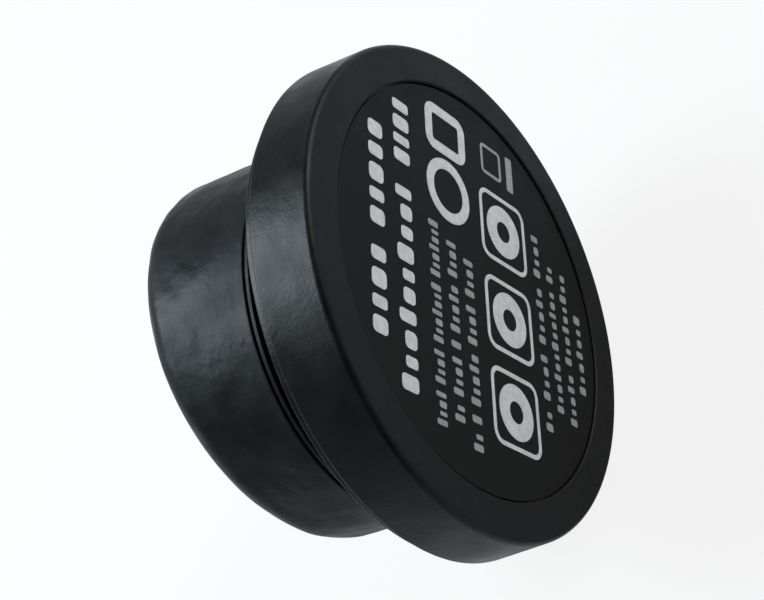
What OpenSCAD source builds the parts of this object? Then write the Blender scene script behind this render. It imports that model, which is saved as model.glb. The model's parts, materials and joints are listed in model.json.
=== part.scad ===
// Wave maker pump, wet side: a magnetic base that holds on to the aquarium glass,
// and a rubber-sleeved pump head that turns on it and blows out of its slanted front.
//
// Every piece is drawn with the base's axis along +Z and the glass at z = 0. seat() then
// turns it into the part's own frame: axis along +Y, label upright, +Z up.
// lean() is the wet end's frame: z = 0 lies in the slanted front face, +Z along the jet.

/* [Magnet base] */
// Radius of the base at the glass face
base_r = 42; // [41:0.5:43]
// Radius of the base at its back edge
base_back_r = 42.6; // [42.2:0.1:43.4]
// Thickness of the base shell
base_t = 11; // [10.8:0.2:13]
// Rounding of the edge at the glass face
base_edge = 1.7; // [0.8:0.1:2.2]
// Radius of the recess that holds the label plate
label_seat_r = 35.2; // [34:0.2:36]
// Radius of the back plate
plate_r = 41.3; // [40.4:0.1:41.5]
// Number of screws in the back plate
base_screw_n = 6; // [3:1:8]

/* [Pump head] */
// Where the head starts, behind the swivel washer, from the glass
head_z = 19.4; // [18.6:0.1:19.8]
// Radius of the rear lip
lip_r = 33; // [32:0.1:34]
// Radius of the rubber sleeve at its rear end
sleeve_rear_r = 33.1; // [32.5:0.1:34]
// Radius of the rubber sleeve at its front end
sleeve_front_r = 33.9; // [33.2:0.1:34.6]
// Height of the centre of the slanted front face, from the glass
face_z = 44.2; // [44:0.2:48]
// Angle between the jet and the base's axis
lean_deg = 7.5; // [4:0.5:8]
// Rounding of the sleeve's front edge
sleeve_edge = 5; // [3:0.5:5.5]

/* [Rotor and guard] */
// Radius of the propeller
prop_r = 16.8; // [15:0.2:16.9]
// Number of blades
blade_n = 4; // [3:1:6]
// Radius of the ceramic shaft
shaft_r = 1.5; // [1.2:0.1:1.6]
// Height of the guard's dome above its rim
dome_h = 9; // [8:0.5:10]
// Number of intake slots round the guard
slot_n = 24; // [18:3:27]

/* [Cable gland] */
// Radius of the hole for the cable
cable_r = 2.6; // [2:0.1:2.7]
// Distance of the gland's axis from the glass
gland_z = 27.2; // [26.8:0.1:28]

/* [Hidden] */
$fn = 96;
eps = 0.01;
slip = 0.05;            // gap round a piece that sits in its neighbour

// base
recess_d = 0.9;         // depth of the label recess
label_t = 0.5;
floor_t = 2.8;          // the shell's wall over the magnets
cavity_r = base_r - 4;
base_screw_r = 34.6;    // pitch radius of the base screws
magnet_n = 6;
magnet_r = 8.4;
magnet_pitch_r = 20;
magnet_h = 5.6;
carrier_r = 31.2;
yoke_t = 1.4;
yoke_z = floor_t + magnet_h + 0.2;
potting_z = yoke_z + yoke_t;
plate_t = 1.9;
plate_z = base_t;
seal_r = 39.2;          // pitch radius of the base seal
seal_w = 0.5;           // radius of its round section

// swivel between base and head
stub_r = 21.5;
stub_z = plate_z + plate_t + 0.4;
collar_r = 27;
chamber_r = 24.6;       // room for the clip inside the collar
washer_t = 0.7;
collar_top = head_z - washer_t - 0.1;
lip_z = collar_top - 1.1;
clip_z = stub_z + 0.8;
clip_t = lip_z - clip_z - 0.15;
grip_z = (lip_z + collar_top) / 2;
grip_w = 0.42;

// motor can
lip_low = head_z + 0.65; // the rear lip stands back a little from the cover's face
lip_t = 0.85;
cover_t = 1.6;
can_z = head_z + cover_t;
can_r = 30.75;
can_in_r = 28.8;
bowl_r = 27.8;
bowl_s = -10;           // the bowl's floor, along the jet from the front face
bulkhead_s = -12;       // the dry side of that floor
rim_s = -1.6;           // the can's front rim, under the sleeve's lip
well_r = 7.4;
well_wall = 1;
well_s = -20.4;
boss_pitch_r = 26.9;
boss_r = 2.1;
boss_h = 6.5;
boss_gap = 0.1;         // the rim seats before the bosses do
cover_screw_n = 6;
can_seal_r = 29.75;
can_seal_w = 0.42;
sleeve_z = can_z + 0.25;
sleeve_lip = 1.55;

// stator and board
core_s = -17.4;
core_t = 3.6;
core_r = 21;
tooth_n = 6;
tooth_w = 4.6;
tooth_tip_r = well_r + well_wall + 0.35;
coil_in = 10.6;
coil_len = 6;
coil_w = 8.4;
coil_h = 6.4;
board_z = can_z + 0.8;
board_t = 1.4;
board_r = 23.4;

// gland
gland_r = 3.9;
gland_boss_r = 5.6;
gland_boss_y = 34;
gland_in_y = 26.8;
gland_end_y = 37;
nut_end_y = 40.6;
nut_r = 6.4;

// guard, nozzle and rotor, along the jet
guard_r = 27.7;
guard_s = -1.2;
guard_t = 2;
nozzle_in_r = 17.6;
nozzle_out_r = 19;
nozzle_s = -6;
post_pitch_r = 24.6;
post_r = 2.3;
post_n = 3;
dome_base_r = 19.3;
dome_r = (dome_base_r * dome_base_r + dome_h * dome_h) / (2 * dome_h);
dome_top = guard_s + guard_t + dome_h;
dome_wall = 1.8;
pocket_s = 5;
pocket_r = 2.9;
pocket_d = 2.4;
magnet_s = -18.7;
core_front_s = -10.2;
hub_r = 5;
hub_top = 2.5;
blade_s = -2;           // middle of the blades
nose_s = 4;
bush_len = 3;
bush_r = 2.6;

module seat() rotate([-90, 0, 0]) children();
module lean() translate([0, 0, face_z]) rotate([0, -lean_deg, 0]) children();
module gland_axis() translate([0, 0, gland_z]) rotate([-90, 0, 0]) children();

// copies of the children round the axis, n of them on a circle of radius r
module ring_of(n, r, first = 0)
    for (i = [0 : n - 1]) rotate(first + i * 360 / n) translate([r, 0, 0]) children();

module tube(r_out, r_in, z0, z1)
    translate([0, 0, z0]) difference() {
        cylinder(r = r_out, h = z1 - z0);
        translate([0, 0, -1]) cylinder(r = r_in, h = z1 - z0 + 2);
    }

module rod(r, z0, z1) translate([0, 0, z0]) cylinder(r = r, h = z1 - z0);

module ring_seal(r, w, z) translate([0, 0, z]) rotate_extrude() translate([r, 0]) circle(r = w, $fn = 32);

// what a rounding of radius r takes off a corner whose arc is centred on the origin
module outside_corner(r) difference() {
    square(r + 1);
    circle(r = r);
}

// all of space on the dry side of a plane across the jet at s
module behind(s) lean() translate([-60, -60, s - 90]) cube([120, 120, 90]);

// pan-head screw: its head's underside at z = 0, the shank towards +Z
module pan_screw(head_r, head_h, shank_r, len) difference() {
    union() {
        translate([0, 0, -head_h]) cylinder(r1 = head_r * 0.86, r2 = head_r, h = head_h);
        translate([0, 0, -eps]) cylinder(r = shank_r, h = len);
    }
    for (a = [0, 90]) rotate(a)
        translate([-head_r * 0.55, -head_r * 0.13, -head_h - eps]) cube([head_r * 1.1, head_r * 0.26, head_h * 0.6]);
}

// ---- magnet base ----

module base_outline() difference() {
    polygon([[0, 0], [base_r, 0], [base_r, base_edge], [base_back_r, base_t - 0.4],
             [base_back_r - 0.4, base_t], [0, base_t]]);
    translate([base_r - base_edge, base_edge]) mirror([0, 1]) outside_corner(base_edge);
}

module base_shell() color("#26272a") seat() difference() {
    union() {
        difference() {
            rotate_extrude() base_outline();
            translate([0, 0, floor_t]) cylinder(r = cavity_r, h = base_t);
        }
        ring_of(base_screw_n, base_screw_r, 30) rod(2.7, floor_t - eps, base_t - 0.05);
        for (a = [0 : base_screw_n - 1]) rotate(30 + a * 360 / base_screw_n)
            translate([base_screw_r, -0.8, floor_t - eps]) cube([cavity_r - base_screw_r + 0.5, 1.6, base_t - floor_t - 1]);
    }
    translate([0, 0, -1]) cylinder(r = label_seat_r, h = recess_d + 1);
    ring_of(base_screw_n, base_screw_r, 30) rod(1.05, base_t - 6.5, base_t + 1);
    tube(seal_r + 0.65, seal_r - 0.65, base_t - 1.05, base_t + 1);
}

module label_plate() color("#202124") seat()
    rod(label_seat_r - 0.15, recess_d - label_t, recess_d);

module holding_magnets() color("silver") seat() {
    rod(magnet_r, floor_t + 0.1, floor_t + 0.1 + magnet_h);
    ring_of(magnet_n, magnet_pitch_r) rod(magnet_r, floor_t + 0.1, floor_t + 0.1 + magnet_h);
}

module magnet_carrier() color("dimgray") seat() difference() {
    rod(carrier_r, floor_t + 0.05, floor_t + magnet_h - 0.2);
    rod(magnet_r + slip, 0, base_t);
    ring_of(magnet_n, magnet_pitch_r) rod(magnet_r + slip, 0, base_t);
    ring_of(magnet_n, carrier_r, 30) rod(2.2, 0, base_t);
}

module yoke_plate() color("lightsteelblue") seat() rod(carrier_r - 0.4, yoke_z, yoke_z + yoke_t);

module base_potting() color("#3a3c40") seat() rod(carrier_r, potting_z + 0.05, base_t - 0.1);

module base_seal() color("#111111") seat() ring_seal(seal_r, seal_w, base_t - seal_w - 0.02);

module base_plate() color("#1e1f22") seat() difference() {
    union() {
        rotate_extrude() polygon([[0, plate_z], [plate_r, plate_z], [plate_r, plate_z + plate_t - 0.4],
                                  [plate_r - 0.4, plate_z + plate_t], [0, plate_z + plate_t]]);
        rod(collar_r, plate_z + plate_t - eps, collar_top);
    }
    rod(chamber_r, plate_z + plate_t, lip_z);
    rod(stub_r + 0.08, plate_z + plate_t, collar_top + 1);
    ring_of(base_screw_n, base_screw_r, 30) {
        rod(1.3, plate_z - 1, plate_z + plate_t + 1);
        rod(2.3, plate_z + plate_t - 1, plate_z + plate_t + 1);
    }
}

module base_screws() color("silver") seat()
    ring_of(base_screw_n, base_screw_r, 30)
        translate([0, 0, plate_z + plate_t - 1]) mirror([0, 0, 1]) pan_screw(2.1, 0.9, 1, 6);

// ---- swivel ----

module swivel_washer() color("#2c2d30") seat() tube(collar_r, stub_r + 0.3, collar_top, collar_top + washer_t);

module swivel_clip() color("silver") seat() difference() {
    tube(chamber_r - 0.4, stub_r - 1.1, clip_z, clip_z + clip_t);
    translate([0, -2, clip_z - 1]) cube([chamber_r + 1, 4, clip_t + 2]);
}

module grip_ring() color("#141414") seat() ring_seal(stub_r - 0.38, grip_w, grip_z);

// ---- motor housing ----

module rear_cover() color("#1b1c1f") seat() {
    difference() {
        union() {
            rotate_extrude() polygon([[0, head_z], [lip_r - 1.4, head_z], [lip_r - 1.4, lip_low],
                                      [lip_r - 0.2, lip_low], [lip_r, lip_low + 0.2],
                                      [lip_r, lip_low + lip_t - 0.2], [lip_r - 0.2, lip_low + lip_t],
                                      [can_r, lip_low + lip_t], [can_r, can_z], [0, can_z]]);
            rod(stub_r, stub_z, head_z + eps);
        }
        rod(stub_r - 4, stub_z - 1, head_z - 0.6);
        tube(stub_r + 1, stub_r - 1.2, clip_z - 0.1, clip_z + clip_t + 0.1);
        tube(stub_r + 1, stub_r - 0.85, grip_z - 0.45, grip_z + 0.45);
        ring_of(cover_screw_n, boss_pitch_r) {
            rod(2, head_z - 1, head_z + 1);
            rod(1.1, head_z, can_z + 1);
        }
    }
    for (p = [[6, 19], [6, -19], [20, 0]]) translate([p[0], p[1], 0]) rod(1.5, can_z - eps, board_z);
}

module cover_screws() color("silver") seat()
    ring_of(cover_screw_n, boss_pitch_r) translate([0, 0, head_z + 1]) pan_screw(1.8, 0.9, 0.75, 6);

module can_seal() color("#111111") seat() ring_seal(can_seal_r, can_seal_w, can_z + can_seal_w + 0.02);

module motor_can() color("#1b1c1f") seat() difference() {
    union() {
        difference() {
            intersection() {
                rod(can_r, can_z, face_z + 10);
                behind(rim_s);
            }
            intersection() {
                rod(can_in_r, can_z - 1, face_z + 10);
                behind(bulkhead_s);
            }
            lean() rod(bowl_r, bowl_s, 20);
        }
        lean() rod(well_r + well_wall, well_s - well_wall, bulkhead_s + eps);
        ring_of(cover_screw_n, boss_pitch_r) rod(boss_r, can_z + boss_gap, can_z + boss_h);
        lean() ring_of(post_n, post_pitch_r, 60) rod(post_r, bowl_s - eps, guard_s - 0.05);
        gland_axis() rod(gland_boss_r, can_in_r + 1, gland_boss_y);
    }
    lean() rod(well_r, well_s, 20);
    ring_of(cover_screw_n, boss_pitch_r) rod(0.8, can_z - 1, can_z + 5.4);
    lean() ring_of(post_n, post_pitch_r, 60) rod(0.8, guard_s - 6, 1);
    gland_axis() rod(gland_r + slip, can_in_r - 2, gland_boss_y + 1);
    tube(can_seal_r + 0.5, can_seal_r - 0.5, can_z - 1, can_z + 0.9);
}

// the sleeve follows the base's axis at its rear end, and the jet's at its rounded front
module sleeve_body() intersection() {
    translate([0, 0, sleeve_z])
        cylinder(r1 = sleeve_rear_r, r2 = sleeve_front_r + 0.25, h = face_z + 8 - sleeve_z);
    lean() rotate_extrude() difference() {
        polygon([[0, 0], [sleeve_front_r, 0], [sleeve_front_r, -sleeve_edge],
                 [sleeve_front_r + 5.5, -34], [0, -34]]);
        translate([sleeve_front_r - sleeve_edge, -sleeve_edge]) outside_corner(sleeve_edge);
    }
}

module rubber_sleeve() color("#2f3236") seat() difference() {
    sleeve_body();
    intersection() {
        rod(can_r + slip, sleeve_z - 1, face_z + 10);
        behind(-sleeve_lip);
    }
    lean() rod(bowl_r, -4, 1);
    gland_axis() rod(gland_boss_r + 0.1, can_in_r, gland_boss_y + 4);
}

// ---- motor ----

module stator_core() color("slategray") seat() lean() translate([0, 0, core_s])
    linear_extrude(core_t) difference() {
        union() {
            difference() {
                circle(r = core_r);
                circle(r = core_r - 3.5);
            }
            for (i = [0 : tooth_n - 1]) rotate(i * 360 / tooth_n)
                translate([tooth_tip_r - 1, -tooth_w / 2]) square([core_r - tooth_tip_r - 1, tooth_w]);
        }
        circle(r = tooth_tip_r);
    }

module round_bar(w, h, r) {
    translate([r - w / 2, -h / 2]) square([w - 2 * r, h]);
    translate([-w / 2, r - h / 2]) square([w, h - 2 * r]);
    for (x = [-1, 1], y = [-1, 1]) translate([x * (w / 2 - r), y * (h / 2 - r)]) circle(r = r, $fn = 32);
}

module stator_coils() color("peru") seat() lean() translate([0, 0, core_s + core_t / 2])
    for (i = [0 : tooth_n - 1]) rotate(i * 360 / tooth_n)
        translate([coil_in, 0, 0]) rotate([90, 0, 90]) linear_extrude(coil_len) difference() {
            round_bar(coil_w, coil_h, 1.5);
            square([tooth_w + 0.1, core_t + 0.1], center = true);
        }

module stator_ring() color("#3a3c40") seat() lean() tube(core_r + 1.4, core_r + slip, core_s - 1.2, bulkhead_s);

module driver_board() color("darkgreen") seat() translate([0, 0, board_z]) linear_extrude(board_t)
    difference() {
        intersection() {
            circle(r = board_r);
            translate([1, -board_r]) square([board_r, 2 * board_r]);
        }
        translate([3, 0]) circle(r = 10.5);
        for (y = [-1, 1]) translate([6, y * 19]) circle(r = 0.9, $fn = 32);
    }

module board_parts() color("#151515") seat() translate([0, 0, board_z + board_t]) {
    for (y = [-13.5, 13.5]) translate([9, y - 2, 0]) cube([5, 4, 1.3]);
    for (y = [-9, 9]) translate([18.5, y, 0]) cylinder(r = 2.2, h = 3.6);
    translate([15.5, -2.5, 0]) cube([4, 5, 1.4]);
    for (y = [-19, 19]) translate([11, y - 1, 0]) cube([3, 2, 0.9]);
}

// ---- cable gland ----

module gland_body() color("#1b1c1f") seat() gland_axis() difference() {
    union() {
        rod(gland_r + 0.7, gland_in_y, gland_in_y + 1.3);
        rod(gland_r, gland_in_y, gland_end_y);
    }
    rod(cable_r, gland_in_y - 1, gland_end_y + 1);
}

module gland_seal() color("#111111") seat() gland_axis() tube(gland_r, cable_r, gland_end_y + 0.05, nut_end_y - 1.2);

module gland_nut() color("#232427") seat() gland_axis() difference() {
    intersection() {
        translate([0, 0, gland_boss_y + 0.1]) cylinder(r = nut_r, h = nut_end_y - gland_boss_y - 0.1, $fn = 6);
        rotate_extrude() polygon([[0, 30], [nut_r + 1, 30], [nut_r + 1, nut_end_y - 2.4], [nut_r - 2, nut_end_y],
                                  [0, nut_end_y]]);
    }
    rod(gland_r + slip, gland_boss_y - 1, nut_end_y - 1.15);
    rod(cable_r + 0.2, gland_boss_y, nut_end_y + 1);
}

// ---- shaft, nozzle and guard ----

module shaft() color("whitesmoke") seat() lean() rod(shaft_r, well_s + 0.05, pocket_s + pocket_d - 0.05);

module rear_shaft_mount() color("#111111") seat() lean() tube(3.4, shaft_r + 0.01, well_s, well_s + 1);

module front_shaft_mount() color("#111111") seat() lean()
    tube(pocket_r - 0.02, shaft_r + 0.01, pocket_s, pocket_s + pocket_d - 0.02);

module nozzle_ring() color("#232427") seat() lean() rotate_extrude()
    polygon([[nozzle_in_r, guard_s], [nozzle_in_r, nozzle_s + 1], [nozzle_in_r + 0.9, nozzle_s],
             [nozzle_out_r, nozzle_s + 0.4], [nozzle_out_r, guard_s]]);

module intake_slots() difference() {
    intersection() {
        difference() {
            circle(r = 26.2);
            circle(r = 20.4);
        }
        for (i = [0 : slot_n - 1]) rotate((i + 0.5) * 360 / slot_n) translate([19, -1.45]) square([9, 2.9]);
    }
    for (i = [0 : post_n - 1]) rotate(60 + i * 360 / post_n) translate([post_pitch_r, 0]) circle(r = 3);
}

// rings and spokes of the outlet grille, seen along the jet
module grille() {
    circle(r = pocket_r + 1.5);
    for (r = [8.4, 12.6, 16.8]) difference() {
        circle(r = r + 0.65);
        circle(r = r - 0.65);
    }
    for (i = [0 : 5]) rotate(i * 30) square([2 * dome_base_r, 1.4], center = true);
}

module front_guard() color("#232427") seat() lean() {
    difference() {
        union() {
            rotate_extrude() polygon([[nozzle_in_r, guard_s], [guard_r, guard_s], [guard_r, guard_s + guard_t - 0.5],
                                      [guard_r - 0.5, guard_s + guard_t], [nozzle_in_r, guard_s + guard_t]]);
            intersection() {
                translate([0, 0, dome_top - dome_r]) difference() {
                    sphere(r = dome_r);
                    sphere(r = dome_r - dome_wall);
                }
                translate([0, 0, guard_s + guard_t - 0.4]) linear_extrude(dome_h + 1) grille();
            }
            rod(pocket_r + 1.3, pocket_s, dome_top - 1);
        }
        translate([0, 0, guard_s - 1]) linear_extrude(guard_t + 2) intake_slots();
        ring_of(post_n, post_pitch_r, 60) rod(1.1, guard_s - 1, guard_s + guard_t + 1);
        rod(pocket_r, pocket_s - 1, pocket_s + pocket_d);
    }
}

module guard_screws() color("silver") seat() lean() ring_of(post_n, post_pitch_r, 60)
    translate([0, 0, guard_s + guard_t]) mirror([0, 0, 1]) pan_screw(1.9, 1.1, 0.75, 6);

// ---- rotor ----

module rotor_bushes() color("whitesmoke") seat() lean() {
    tube(bush_r, shaft_r + slip, magnet_s, magnet_s + bush_len);
    tube(bush_r, shaft_r + slip, nose_s - bush_len, nose_s);
}

module rotor_core() color("#3a3c40") seat() lean() difference() {
    union() {
        rod(3.6, magnet_s, core_front_s);
        rod(6.7, core_front_s - 1.2, core_front_s);
    }
    rod(shaft_r + 0.4, magnet_s - 1, core_front_s + 1);
    rod(bush_r + 0.01, magnet_s - 1, magnet_s + bush_len);
}

module rotor_magnet() color("#4a4d52") seat() lean() tube(6.7, 3.62, magnet_s, core_front_s - 1.2);

// cambered section of a blade, in the plane across its radius
module blade_section() rotate(-52) intersection() {
    translate([0, -12.4]) difference() {
        circle(r = 13);
        circle(r = 11.8);
    }
    translate([-5.4, -4]) square([10.8, 6]);
}

module propeller() color("#5a5f66") seat() lean() difference() {
    union() {
        rod(hub_r, core_front_s, hub_top);
        translate([0, 0, hub_top]) cylinder(r1 = hub_r, r2 = 3.4, h = nose_s - hub_top);
        intersection() {
            rod(prop_r, blade_s - 5, blade_s + 5);
            translate([0, 0, dome_top - dome_r]) sphere(r = dome_r - dome_wall - 0.8);
            for (i = [0 : blade_n - 1]) rotate(i * 360 / blade_n)
                translate([hub_r - 1, 0, blade_s]) rotate([90, 0, 90]) linear_extrude(prop_r) blade_section();
        }
    }
    rod(shaft_r + 0.4, core_front_s - 1, nose_s + 1);
    rod(bush_r + 0.01, nose_s - bush_len, nose_s + 1);
}

module thrust_washers() color("ivory") seat() lean() {
    tube(3.2, shaft_r + 0.1, nose_s + 0.1, nose_s + 0.7);
    tube(3.2, shaft_r + 0.1, magnet_s - 0.5, magnet_s - 0.1);
}

base_shell();
label_plate();
holding_magnets();
magnet_carrier();
yoke_plate();
base_potting();
base_seal();
base_plate();
base_screws();
swivel_washer();
rear_cover();
swivel_clip();
grip_ring();
cover_screws();
can_seal();
motor_can();
rubber_sleeve();
stator_core();
stator_coils();
stator_ring();
driver_board();
board_parts();
gland_body();
gland_seal();
gland_nut();
shaft();
rear_shaft_mount();
front_shaft_mount();
nozzle_ring();
front_guard();
guard_screws();
rotor_bushes();
rotor_core();
rotor_magnet();
propeller();
thrust_washers();
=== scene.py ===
"""Looks of a wave maker pump, modelled round its packed CAD frame.

The base's axis runs along +Y from the glass at y = 0, and the label is upright with +Z up.
Pieces of the slanted wet end are modelled straight, along their own +Y, and put on the jet's axis.
"""

import json
import math

import bpy
from bpy.props import FloatProperty, FloatVectorProperty, IntProperty, PointerProperty
from mathutils import Matrix, Vector


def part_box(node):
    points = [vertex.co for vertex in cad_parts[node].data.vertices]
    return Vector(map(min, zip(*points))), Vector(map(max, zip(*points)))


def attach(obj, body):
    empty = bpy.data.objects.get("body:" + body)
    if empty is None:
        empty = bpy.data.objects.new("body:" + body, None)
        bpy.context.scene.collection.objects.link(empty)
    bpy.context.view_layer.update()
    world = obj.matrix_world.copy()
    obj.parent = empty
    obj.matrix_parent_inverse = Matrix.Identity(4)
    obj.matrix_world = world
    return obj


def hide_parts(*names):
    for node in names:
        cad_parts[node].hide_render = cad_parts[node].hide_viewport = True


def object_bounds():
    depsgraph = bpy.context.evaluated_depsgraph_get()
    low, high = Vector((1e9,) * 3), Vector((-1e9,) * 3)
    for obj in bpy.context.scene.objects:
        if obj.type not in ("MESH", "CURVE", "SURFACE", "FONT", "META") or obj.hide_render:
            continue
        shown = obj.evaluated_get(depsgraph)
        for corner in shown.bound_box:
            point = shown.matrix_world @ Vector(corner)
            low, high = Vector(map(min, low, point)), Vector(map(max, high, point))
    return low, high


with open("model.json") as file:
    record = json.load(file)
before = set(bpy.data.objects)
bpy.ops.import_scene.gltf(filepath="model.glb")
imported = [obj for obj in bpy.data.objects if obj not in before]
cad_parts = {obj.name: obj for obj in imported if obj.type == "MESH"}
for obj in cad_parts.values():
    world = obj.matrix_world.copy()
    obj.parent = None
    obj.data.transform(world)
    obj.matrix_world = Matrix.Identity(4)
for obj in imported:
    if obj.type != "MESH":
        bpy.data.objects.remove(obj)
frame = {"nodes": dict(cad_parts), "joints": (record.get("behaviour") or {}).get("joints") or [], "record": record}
CAD_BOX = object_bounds()

bl_info = {
    "name": "Wave maker pump",
    "version": (1, 0, 0),
    "blender": (4, 5, 0),
    "location": "View3D > Sidebar > Wave pump",
    "description": "Models the finish of a magnet-held wave maker pump round its CAD frame",
    "category": "Object",
}

MM = 0.001
SIDES = 192           # sides of a large turned piece
FACING_GLASS = Vector((0, -1, 0))


# ---- sizes read from the frame ----

def reach(node):
    """Radius of a node that is centred on the base's axis."""
    low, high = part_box(node)
    return (high.x - low.x) / 2


def low_y(node):
    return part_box(node)[0].y


def high_y(node):
    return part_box(node)[1].y


def named(items, name):
    """The joint or mount of that name."""
    for item in items:
        if item["name"] == name:
            return item
    raise RuntimeError("the frame has no " + name)


SPIN = named(frame["joints"], "rotor_spin")
FACE_CENTRE, JET = Vector(SPIN["pos_m"]), Vector(SPIN["axis"]).normalized()
LEAN = math.atan2(-JET.x, JET.y)      # how far the jet leans from +Y towards -X
ON_JET = Matrix.Translation(FACE_CENTRE) @ Matrix.Rotation(LEAN, 4, "Z")
CABLE = named(frame["record"]["mounts"], "cable_entry")
CABLE_R = CABLE["dims"]["r_mm"] * MM
ON_GLAND = (Matrix.Translation((0, CABLE["pos_m"][1], 0))
            @ Matrix.Rotation(-math.pi / 2, 4, "X"))      # +Y runs down along the cable


def along_jet(node):
    """Lowest and highest place of a node along the jet, from the centre of the front face."""
    turned_back = ON_JET.inverted()
    heights = [(turned_back @ v.co).y for v in frame["nodes"][node].data.vertices]
    return min(heights), max(heights)


# ---- sizes and colours a user would change ----

def length(name, description, default, low=0.0, high=0.2):
    return FloatProperty(name=name, description=description, default=default, min=low, max=high,
                         subtype="DISTANCE", unit="LENGTH", precision=5)


def tint(name, description, default):
    return FloatVectorProperty(name=name, description=description, default=default, size=3,
                               min=0.0, max=1.0, subtype="COLOR")


def turn(name, description, degrees):
    return FloatProperty(name=name, description=description, default=math.radians(degrees),
                         subtype="ANGLE", unit="ROTATION")


class BaseSizes(bpy.types.PropertyGroup):
    """Sizes of the magnet base"""
    back_radius: length("Back radius", "Radius of the casing at its back edge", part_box("base_shell")[1].x)
    taper: length("Taper", "How much smaller the casing is at the glass", 0.6 * MM)
    thickness: length("Thickness", "Thickness of the casing", high_y("base_shell"))
    edge: length("Edge", "Rounding of the edge at the glass", 1.1 * MM)
    recess_radius: length("Recess", "Radius of the label's recess", reach("label_plate") + 0.32 * MM)
    recess_depth: length("Recess depth", "Depth of the label's recess", high_y("label_plate"))
    floor: length("Floor", "Wall between the recess and the magnets", low_y("magnet_carrier") - 0.05 * MM)
    rim_wall: length("Rim wall", "Wall of the casing round the magnets", 4.6 * MM)
    plate_radius: length("Plate radius", "Radius of the back plate", reach("base_plate"))
    screw_circle: length("Screw circle", "Radius of the circle of the base screws", 34.6 * MM)
    screws: IntProperty(name="Screws", description="Screws in the back plate", default=6, min=3, max=12)


class LabelSizes(bpy.types.PropertyGroup):
    """Sizes of the print on the label"""
    film: length("Ink film", "Thickness of the print", 0.05 * MM)
    bold: length("Bold row", "Height of the blocks in the two bold rows", 3.5 * MM)
    thin: length("Small row", "Height of the blocks in the small rows", 2.5 * MM)
    stroke: length("Stroke", "Line width of the signs' frames", 0.8 * MM)


class HeadSizes(bpy.types.PropertyGroup):
    """Sizes of the pump head"""
    lip_radius: length("Lip radius", "Radius of the rear lip", reach("rear_cover"))
    rear_radius: length("Rear radius", "Radius of the sleeve at its rear end", 33.1 * MM)
    front_radius: length("Front radius", "Radius of the sleeve at its front end", 33.85 * MM)
    edge: length("Edge", "Rounding of the sleeve's front edge", 5.0 * MM)
    mouth: length("Mouth", "Radius of the opening in the sleeve's front", 27.8 * MM)
    lip: length("Front lip", "Thickness of the sleeve's front lip", 1.5 * MM)
    can_radius: length("Can radius", "Radius of the motor can inside the sleeve", reach("motor_can"))
    wave: length("Wave", "Height of the waves in the rubber", 0.5 * MM, 0.0, 0.002)


class GuardSizes(bpy.types.PropertyGroup):
    """Sizes of the front guard and the propeller"""
    flange_radius: length("Flange radius", "Radius of the guard's flange", 27.65 * MM)
    flange: length("Flange", "Thickness of the guard's flange", 2.0 * MM)
    throat: length("Throat", "Inner radius of the nozzle", 17.6 * MM)
    dome_base: length("Dome base", "Radius of the dome where it meets the flange", 19.3 * MM)
    bar: length("Bar", "Width of the guard's bars", 1.35 * MM)
    bar_depth: length("Bar depth", "Depth of the guard's bars", 1.8 * MM)
    slots: IntProperty(name="Slots", description="Intake slots round the guard", default=24, min=12, max=36)
    blades: IntProperty(name="Blades", description="Blades of the propeller", default=4, min=2, max=8)
    blade_reach: length("Blade reach", "Radius of the propeller", 16.7 * MM)


class PumpColours(bpy.types.PropertyGroup):
    """Colours of the pump"""
    shell: tint("Shell", "Moulded plastic of the base", (0.006, 0.0064, 0.007))
    label: tint("Label", "Label film", (0.008, 0.0082, 0.0085))
    ink: tint("Ink", "Bold print on the label", (0.57, 0.58, 0.59))
    fine_ink: tint("Fine ink", "Small print on the label, which looks greyer", (0.28, 0.29, 0.3))
    rubber: tint("Rubber", "Rubber sleeve", (0.009, 0.0101, 0.0115))
    housing: tint("Housing", "Motor housing", (0.007, 0.0075, 0.008))
    guard: tint("Guard", "Front guard and nozzle", (0.011, 0.0117, 0.0125))
    blade: tint("Propeller", "Propeller", (0.075, 0.083, 0.092))


class StageSizes(bpy.types.PropertyGroup):
    """Camera and light"""
    azimuth: turn("Azimuth", "Direction of the camera round the pump", -39.74)
    elevation: turn("Elevation", "Height of the camera over the horizon", 44.66)
    roll: turn("Roll", "Turn of the camera about its own axis", -61.44)
    distance: length("Distance", "Distance of the camera from its aim", 0.23574, 0.05, 5.0)
    lens: FloatProperty(name="Lens", description="Focal length in millimetres", default=68.93, min=10,
                        max=300)
    aim: FloatVectorProperty(name="Aim", description="Point that the camera looks at", size=3,
                             default=(-1.27 * MM, 13.31 * MM, 8.76 * MM), subtype="TRANSLATION",
                             unit="LENGTH")


GROUPS = {"pump_base": BaseSizes, "pump_label": LabelSizes, "pump_head": HeadSizes,
          "pump_guard": GuardSizes, "pump_colours": PumpColours, "pump_stage": StageSizes}


# ---- modelling helpers ----

def edit_mesh():
    bpy.ops.object.mode_set(mode="EDIT")


def leave_mesh():
    bpy.ops.object.mode_set(mode="OBJECT")


def select_mesh(action="SELECT"):
    bpy.ops.mesh.select_all(action=action)


def finish_mesh(fill=True):
    """Fills open ends, turns the faces outwards and leaves edit mode."""
    select_mesh()
    if fill:
        bpy.ops.mesh.fill_holes(sides=0)
    bpy.ops.mesh.normals_make_consistent(inside=False)
    leave_mesh()


def resize(factors, centre):
    bpy.ops.transform.resize(value=factors, center_override=centre)


def rotate(angle, axis, centre=(0, 0, 0)):
    """Turns what is selected. With no window, a positive angle turns it clockwise."""
    bpy.ops.transform.rotate(value=angle, orient_axis=axis, center_override=centre)


def apply_place():
    """Takes the active object's place into its mesh."""
    bpy.ops.object.transform_apply(location=True, rotation=True, scale=True)


def deselect():
    if bpy.context.object and bpy.context.object.mode != "OBJECT":
        leave_mesh()
    bpy.ops.object.select_all(action="DESELECT")


def pick(piece):
    """Makes a piece the only selected and the active one."""
    deselect()
    piece.select_set(True)
    bpy.context.view_layer.objects.active = piece


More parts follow.
